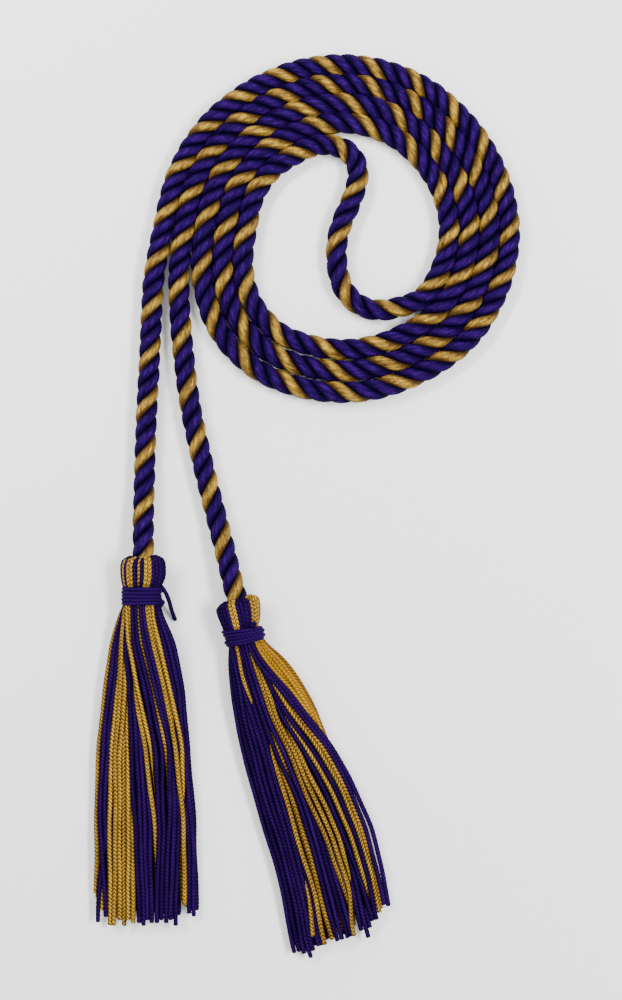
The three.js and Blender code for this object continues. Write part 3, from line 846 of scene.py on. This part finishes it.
class Tassel:
    """A tassel's own frame: origin on the floor under its head's mouth, hem towards -Y."""

    def __init__(self, sections, mouth, lean):
        self.rows = np.array(sections, float)
        self.mouth = mouth
        angle = math.radians(lean)
        cos, sin = math.cos(angle), math.sin(angle)
        self.turn = np.array([[cos, -sin, 0], [sin, cos, 0], [0, 0, 1]])

    def section(self, down):
        """Real sizes of the section that far down, as a share of the tassel's length."""
        left, right, middle, top = (
            np.interp(down, self.rows[:, 0], self.rows[:, k]) for k in range(1, 5))
        return {
            "centre": (left + right) / 2 * HEM_WIDTH,
            "half": (right - left) / 2 * HEM_WIDTH,
            "middle": middle * HEAD_THICKNESS,
            "rise": (top - middle) * HEAD_THICKNESS,
        }

    def placed(self, points):
        """Points of the tassel where they lie on the floor."""
        moved = points @ self.turn.T
        moved[..., 0] += self.mouth[0]
        moved[..., 1] += self.mouth[1]
        return moved


def strand_radius(down):
    """Strands are squeezed thin in the neck and thicken below it."""
    freed = float(np.clip((down - THIN_TO) / (FULL_FROM - THIN_TO), 0, 1))
    return NECK_STRAND_RADIUS + (STRAND_RADIUS - NECK_STRAND_RADIUS) * freed


def crown(section, x, radius):
    """Height of a strand that lies on top of a section at x, falling away past its sides."""
    share = np.abs(x - section["centre"]) / section["half"]
    arc = np.sqrt(np.clip(1 - share**2, LEAST_ARC, 1))
    past = np.clip(share - 1, 0, SIDE_SHARE) * SIDE_FALL
    high = section["middle"] * (1 - past) + (section["rise"] - radius) * arc
    return np.maximum(high, radius)


def push_apart(spot, radius, deeper):
    """How far strands that overlap push each other, up and down where one passes below."""
    alone = np.eye(len(spot))
    gap = spot[:, None] - spot[None, :]
    far = np.linalg.norm(gap, axis=2) + alone
    weight = np.where(deeper, LOWER_GIVES, np.where(deeper.T, UPPER_GIVES, 0.5))
    overlap = np.clip(2 * radius - far, 0, None) * (1 - alone) * weight
    apart = np.abs(gap[..., 1]) + 0.5 * radius
    gap[..., 1] = np.where(deeper, -apart, np.where(deeper.T, apart, gap[..., 1]))
    return np.sum(unit(gap) * overlap[..., None], axis=1)


def settled(tassel, wishes, order, sunk, shown, downs):
    """Where each strand lies across and up at each station: it is drawn to its own place on top
    of the section, and where two meet, the one with the higher order passes below."""
    spots = np.zeros((len(downs), len(wishes), 2))
    pull = np.where(shown, SHOWN_PULL, BELOW_PULL)
    spot = None
    for k, down in enumerate(downs):
        section = tassel.section(down)
        radius = strand_radius(down)
        snug = float(np.interp(down, NECK_END, [0, SIDE_LEEWAY]))
        limit = section["half"] - 0.6 * radius + snug
        wish = section["centre"] + np.clip(wishes[:, k] - section["centre"], -limit, limit)
        deep = np.where(shown, 0, (order - BELOW_ORDER) * BELOW_DEPTH * radius)
        below = SUNK_DEPTH * radius * sunk[:, k] + deep
        rank = order + SUNK_ORDER * sunk[:, k]
        seen = shown & (sunk[:, k] < 0.5)
        across = np.sort(wish[seen])
        inner = across[1] - 0.8 * radius, across[-3] + 0.2 * radius
        wish = np.where(seen, wish, np.clip(wish, *inner))
        deeper = rank[:, None] - rank[None, :] > LEAST_DIFFERENCE
        if spot is None:
            spot = np.stack([wish, crown(section, wish, radius) - below], axis=1)
            steps = FIRST_STEPS
        else:
            spot = spot.copy()
            spot[:, 0] += wish - last_wish
            steps = STEPS
        last_wish = wish
        for _ in range(steps):
            top = crown(section, spot[:, 0], radius)
            spot[:, 0] += pull * (wish - spot[:, 0])
            spot[:, 1] += RISE_PULL * (top - below - spot[:, 1])
            spot += PUSH * push_apart(spot, radius, deeper)
            spot[:, 0] = np.where(seen, spot[:, 0], np.clip(spot[:, 0], *inner))
            top = crown(section, spot[:, 0], radius)
            spot[:, 1] = np.clip(spot[:, 1], radius, top)
        spots[k] = spot
    for _ in range(EVENING_ROUNDS):
        spots[1:-1] = (spots[:-2] + 2 * spots[1:-1] + spots[2:]) / 4
    return spots


def stitch_places(length, chance):
    """Places of the rings along a strand, a few to a stitch, with stitches of uneven length."""
    usual = CHAIN_PITCH / STITCH_RINGS
    steps = usual * chance.uniform(*STITCH_SPREAD, int(1.3 * length / usual) + 4)
    places = chance.uniform(0.2, 1) * usual + np.cumsum(steps) - steps[0]
    return np.concatenate([[0], places[places < length - 0.3 * usual], [length]])


def add_strand(
    tubes, line, radii, turn, tone_and_shade, chance, plain=None, axis=(0, 0, 1), groove=0, worn=False
):
    """A strand of chain cord with blunt ends. turn is where its two columns of stitches meet,
    and groove where the painted shade on its sides is darkest. plain gives the sides and the
    step of a strand that needs no relief, and a worn one has shallow stitches and the second
    of its tubes' looks."""
    along = distances(line)
    if plain:
        sides, step = plain
        places = np.linspace(0, along[-1], max(int(along[-1] / step), 4))
        stitches = places / CHAIN_PITCH
    else:
        sides = STITCH_SIDES
        places = stitch_places(along[-1], chance)
        stitches = np.arange(len(places)) / STITCH_RINGS
    stitches = stitches * chance.choice([-1, 1]) + chance.integers(5, 900)
    fine = at_distances(line, along, places)
    radius = np.interp(places, along, radii)
    radius[[0, -1]] *= BLUNT_END
    forward = directions(fine)
    across = unit(np.cross(forward, axis))
    up = np.cross(across, forward)
    angle = np.linspace(0, 2 * math.pi, sides, endpoint=False)
    slant = CHAIN_SLANT * np.minimum(angle, 2 * math.pi - angle)
    around = angle + turn
    whole = np.ones((len(places), sides))
    if not plain:
        depth = WORN_STITCH_DEPTH if worn else STITCH_DEPTH
        whole -= depth * (1 - np.abs(np.sin(math.pi * (stitches[:, None] + slant))))
        whole[:, 0] -= FURROW_DEPTH * depth
    reach = radius[:, None] * whole
    rings = (
        fine[:, None]
        + (reach * np.cos(around))[..., None] * across[:, None]
        + (reach * np.sin(around))[..., None] * up[:, None]
    )
    rings[..., 2] = np.maximum(rings[..., 2], LOWEST)
    lay = np.stack(np.broadcast_arrays(np.cos(angle), np.sin(angle), stitches[:, None]), axis=-1)
    # Painted shade on the strand's sides, darkest towards groove
    shade = tone_and_shade - STRAND_SHADE * np.cos(around - groove) ** 2
    tubes.add(rings, lay, shade, 1 if worn else 0)


def sunk_share(downs, seen, sooner=0.0):
    """How far a strand has sunk at each station, outside the part where it is in sight."""
    first, last = seen[0] + sooner * (seen[0] > 0), seen[1] - sooner * (seen[1] < 1)
    before = np.clip((first - downs) / SINK_FADE, 0, 1) if first > 0 else np.zeros_like(downs)
    after = np.clip((downs - last) / SINK_FADE, 0, 1) if last < 1 else np.zeros_like(downs)
    return np.maximum(before, after)


def skirt(name, tassel, rows, stops, painted_gold_shade, seed):
    """All strands from the neck to the hem: those that show, and those that lie below them."""
    chance = np.random.default_rng(seed)
    start = (tassel.rows[NECK_ROW, 0] + tassel.rows[NECK_ROW + 1, 0]) / 2
    downs = np.linspace(start, LONGEST_REACH, STRAND_STATIONS)
    colours, places, orders, sights, ends = zip(*rows)
    shown_count = len(rows)
    leaders = chance.permutation(np.resize(np.arange(shown_count), STRANDS_BELOW))
    places = np.array(places) * MM
    below = places[leaders] + chance.normal(0, BELOW_SPREAD, (STRANDS_BELOW, 1))
    wishes = np.stack([np.interp(downs, stops, row) for row in [*places, *below]])
    phases = chance.uniform(0, 2 * math.pi, (len(wishes), 2))
    ease = np.clip((downs - start) / SWAY_EASE, 0, 1)
    sway = sum(
        size * np.sin(pace * downs + phases[:, [k]]) for k, (size, pace) in enumerate(SWAYS))
    wishes += sway * ease * MM
    order = np.concatenate([orders, BELOW_ORDER + chance.uniform(*DEPTHS, STRANDS_BELOW)])
    sunk = np.zeros_like(wishes)
    sunk[:shown_count] = [sunk_share(downs, seen) for seen in sights]
    on_top = np.arange(len(wishes)) < shown_count
    spots = settled(tassel, wishes, order, sunk, on_top, downs)
    gold = [colour != "purple" for colour in colours]
    gold += [gold[leader] and sum(gold[max(leader - 1, 0):leader + 2]) > 1 for leader in leaders]
    worn = [colour == "worn gold" for colour in colours] + [False] * STRANDS_BELOW
    shorter = chance.uniform(*SHORTER, STRANDS_BELOW)
    reaches = [*ends, *(shorter + [min(ends[leader], 1) for leader in leaders])]
    radii = np.tile([strand_radius(down) for down in downs], (len(wishes), 1))
    radii[:shown_count] *= [
        1 - SUNK_THINNING * sunk_share(downs, seen, SINK_SOONER) for seen in sights]
    tubes = {True: Tubes(), False: Tubes()}
    for i in range(len(wishes)):
        points = np.stack([spots[:, i, 0], -downs * TASSEL_LENGTH, spots[:, i, 1]], axis=1)
        line = smooth_line(points, step=1 * MM)
        along = distances(line)
        share = np.linspace(0, along[-1], len(downs))
        kept = along <= np.interp(reaches[i], downs, share)
        thickness = np.interp(along[kept], share, radii[i]) * chance.uniform(*THICKNESSES)
        turn = math.pi / 2 + chance.normal(0, TURN_SPREAD)
        # Random tone, and painted shade on the gold strands that are not worn
        tone_and_shade = chance.normal(0, TONE_SPREAD) + (painted_gold_shade if gold[i] and not worn[i] else 0)
        add_strand(
            tubes[gold[i]],
            tassel.placed(line[kept]),
            thickness,
            turn,
            tone_and_shade,
            chance,
            plain=None if on_top[i] else PLAIN_STRAND,
            worn=worn[i],
        )
    looks = [GOLD_CHAIN, WORN_GOLD_CHAIN] if any(worn) else [GOLD_CHAIN]
    golden = tubes[True].finish(f"{name}_gold_skirt", looks)
    purple = tubes[False].finish(f"{name}_purple_skirt", [PURPLE_CHAIN])
    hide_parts(f"tassel_{name}_strands")


def bundles(colours):
    """Each head strand's place across its bundle, from -1 to 1, and the bundle's size."""
    found = []
    for _, group in itertools.groupby(colours):
        size = len(list(group))
        found += [((2 * k + 1) / size - 1, size) for k in range(size)]
    return found


def folded_line(tassel, outline, angle, inset, level):
    """Line of a head strand: up from the neck, over the top and in beside the rope."""
    radius = HEAD_STRAND_RADIUS
    points = []
    for down, left, right in outline:
        section = tassel.section(down * MM / TASSEL_LENGTH)
        middle, half = (left + right) / 2 * MM, (right - left) / 2 * MM
        points.append((
            middle + (half - inset) * math.cos(angle),
            -down * MM,
            max(section["middle"] + (section["rise"] - inset) * math.sin(angle), radius),
        ))
    mouth = tassel.section(0)
    for share, lower in HEAD_FOLD:
        inside = (FOLD_START - share) / FOLD_SPAN
        outer = middle + (half - inset) * share * math.cos(angle)
        inner = mouth["centre"] + mouth["half"] * MOUTH_SHARE * math.cos(angle)
        points.append((
            outer * (1 - inside) + inner * inside,
            -level - radius - lower * MM,
            mouth["middle"] + (mouth["rise"] - inset) * share * math.sin(angle),
        ))
    return tassel.placed(smooth_line(points, step=0.4 * MM))


def head(name, tassel, colours, tops, outline, seed):
    """Strands folded over the rope's end, the upper half of them in the order of colours."""
    chance = np.random.default_rng(seed)
    tubes = {True: Tubes(), False: Tubes()}
    shown = len(colours)
    radius = HEAD_STRAND_RADIUS
    places = bundles(colours)
    for i in range(2 * shown):
        top = i < shown
        angle = math.pi * (1 - (i + 0.5) / shown) if top else -math.pi * (i + 0.5 - shown) / shown
        letter = colours[i] if top else ("G" if chance.uniform() < GOLD_BELOW else "P")
        place, size = places[i] if top else (0, 1)
        swell = min(size, WIDEST_BUNDLE) * BUNDLE_SWELL * MM * (1 - place**2)
        inset = radius * (SUNK_INSET if letter == "g" else PLAIN_INSET) - swell
        level = tops[i] * MM if top else chance.uniform(*LOWER_TOPS) * MM
        line = folded_line(tassel, outline, angle, inset, level)
        radii = np.full(len(line), radius) * chance.uniform(*HEAD_THICKNESSES)
        tone_and_shade = chance.normal(0, HEAD_TONE_SPREAD)
        add_strand(tubes[letter in "Gg"], line, radii, math.pi / 2, tone_and_shade, chance)
    golden = tubes[True].finish(f"{name}_gold_head", [GOLD_CHAIN])
    purple = tubes[False].finish(f"{name}_purple_head", [PURPLE_CHAIN])


def binding(name, tassel, turns, knot, tail):
    """A thin cord wound five times round the neck, its knot and, on the left, its loose end."""
    chance = np.random.default_rng(SEED)
    tubes = Tubes()
    points = []
    after = turns[1:] + [turns[-1]]
    for (left, right, out), following in zip(turns, after):
        for angle in range(180, -180, -BINDING_STEP):
            share = 0.5 + 0.5 * math.cos(math.radians(angle))
            start = left if angle > 0 else following[0]
            down = (start + (right - start) * share) * MM
            section = tassel.section(down / TASSEL_LENGTH)
            reach = BINDING_RADIUS + out * MM
            points.append((
                section["centre"] + (section["half"] + reach) * math.cos(math.radians(angle)),
                -down,
                section["middle"] + (section["rise"] + reach) * math.sin(math.radians(angle)),
            ))
    line = tassel.placed(smooth_line(points, step=0.3 * MM))
    radii = np.full(len(line), BINDING_RADIUS)
    add_strand(
        tubes,
        line,
        radii,
        BINDING_TURN,
        BINDING_TONE,
        chance,
        plain=PLAIN_BINDING,
        axis=tassel.turn[:, 1],
        groove=math.pi / 2,
    )
    t = np.linspace(0, 2 * math.pi, 60)
    loop = np.stack(
        [np.sin(t) + 2 * np.sin(2 * t), np.cos(t) - 2 * np.cos(2 * t), -np.sin(3 * t)], axis=1)
    line = tassel.placed(np.array(knot) * MM + loop * KNOT_SIZE * MM)
    radii = np.full(len(line), KNOT_RADIUS)
    add_strand(tubes, line, radii, 0, 0, chance, plain=PLAIN_KNOT)
    if tail:
        line = tassel.placed(smooth_line(np.array(tail) * MM, step=0.3 * MM))
        radii = np.full(len(line), TAIL_RADIUS)
        add_strand(tubes, line, radii, math.pi / 2, 0, chance, plain=PLAIN_BINDING)
    piece = tubes.finish(f"{name}_binding", [BINDING_CHAIN])
    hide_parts(f"tassel_{name}_binding")


LEFT_TASSEL = Tassel(LEFT_SECTIONS, chosen(LEFT_RUN)[1], LEFT_LEAN)
RIGHT_TASSEL = Tassel(RIGHT_SECTIONS, chosen(RIGHT_RUN)[-2], RIGHT_LEAN)

camera_above()
twisted_rope()
skirt("left", LEFT_TASSEL, LEFT_STRANDS, LEFT_STOPS, LEFT_GOLD_SHADE, SEED + 1)
skirt("right", RIGHT_TASSEL, RIGHT_STRANDS, RIGHT_STOPS, RIGHT_GOLD_SHADE, SEED + 2)
head("left", LEFT_TASSEL, LEFT_HEAD, LEFT_TOPS, LEFT_HEAD_OUTLINE, SEED + 3)
head("right", RIGHT_TASSEL, RIGHT_HEAD, RIGHT_TOPS, RIGHT_HEAD_OUTLINE, SEED + 4)
binding("left", LEFT_TASSEL, LEFT_TURNS, LEFT_KNOT, LEFT_TAIL)
binding("right", RIGHT_TASSEL, RIGHT_TURNS, RIGHT_KNOT, None)
pale_floor()
studio_light()
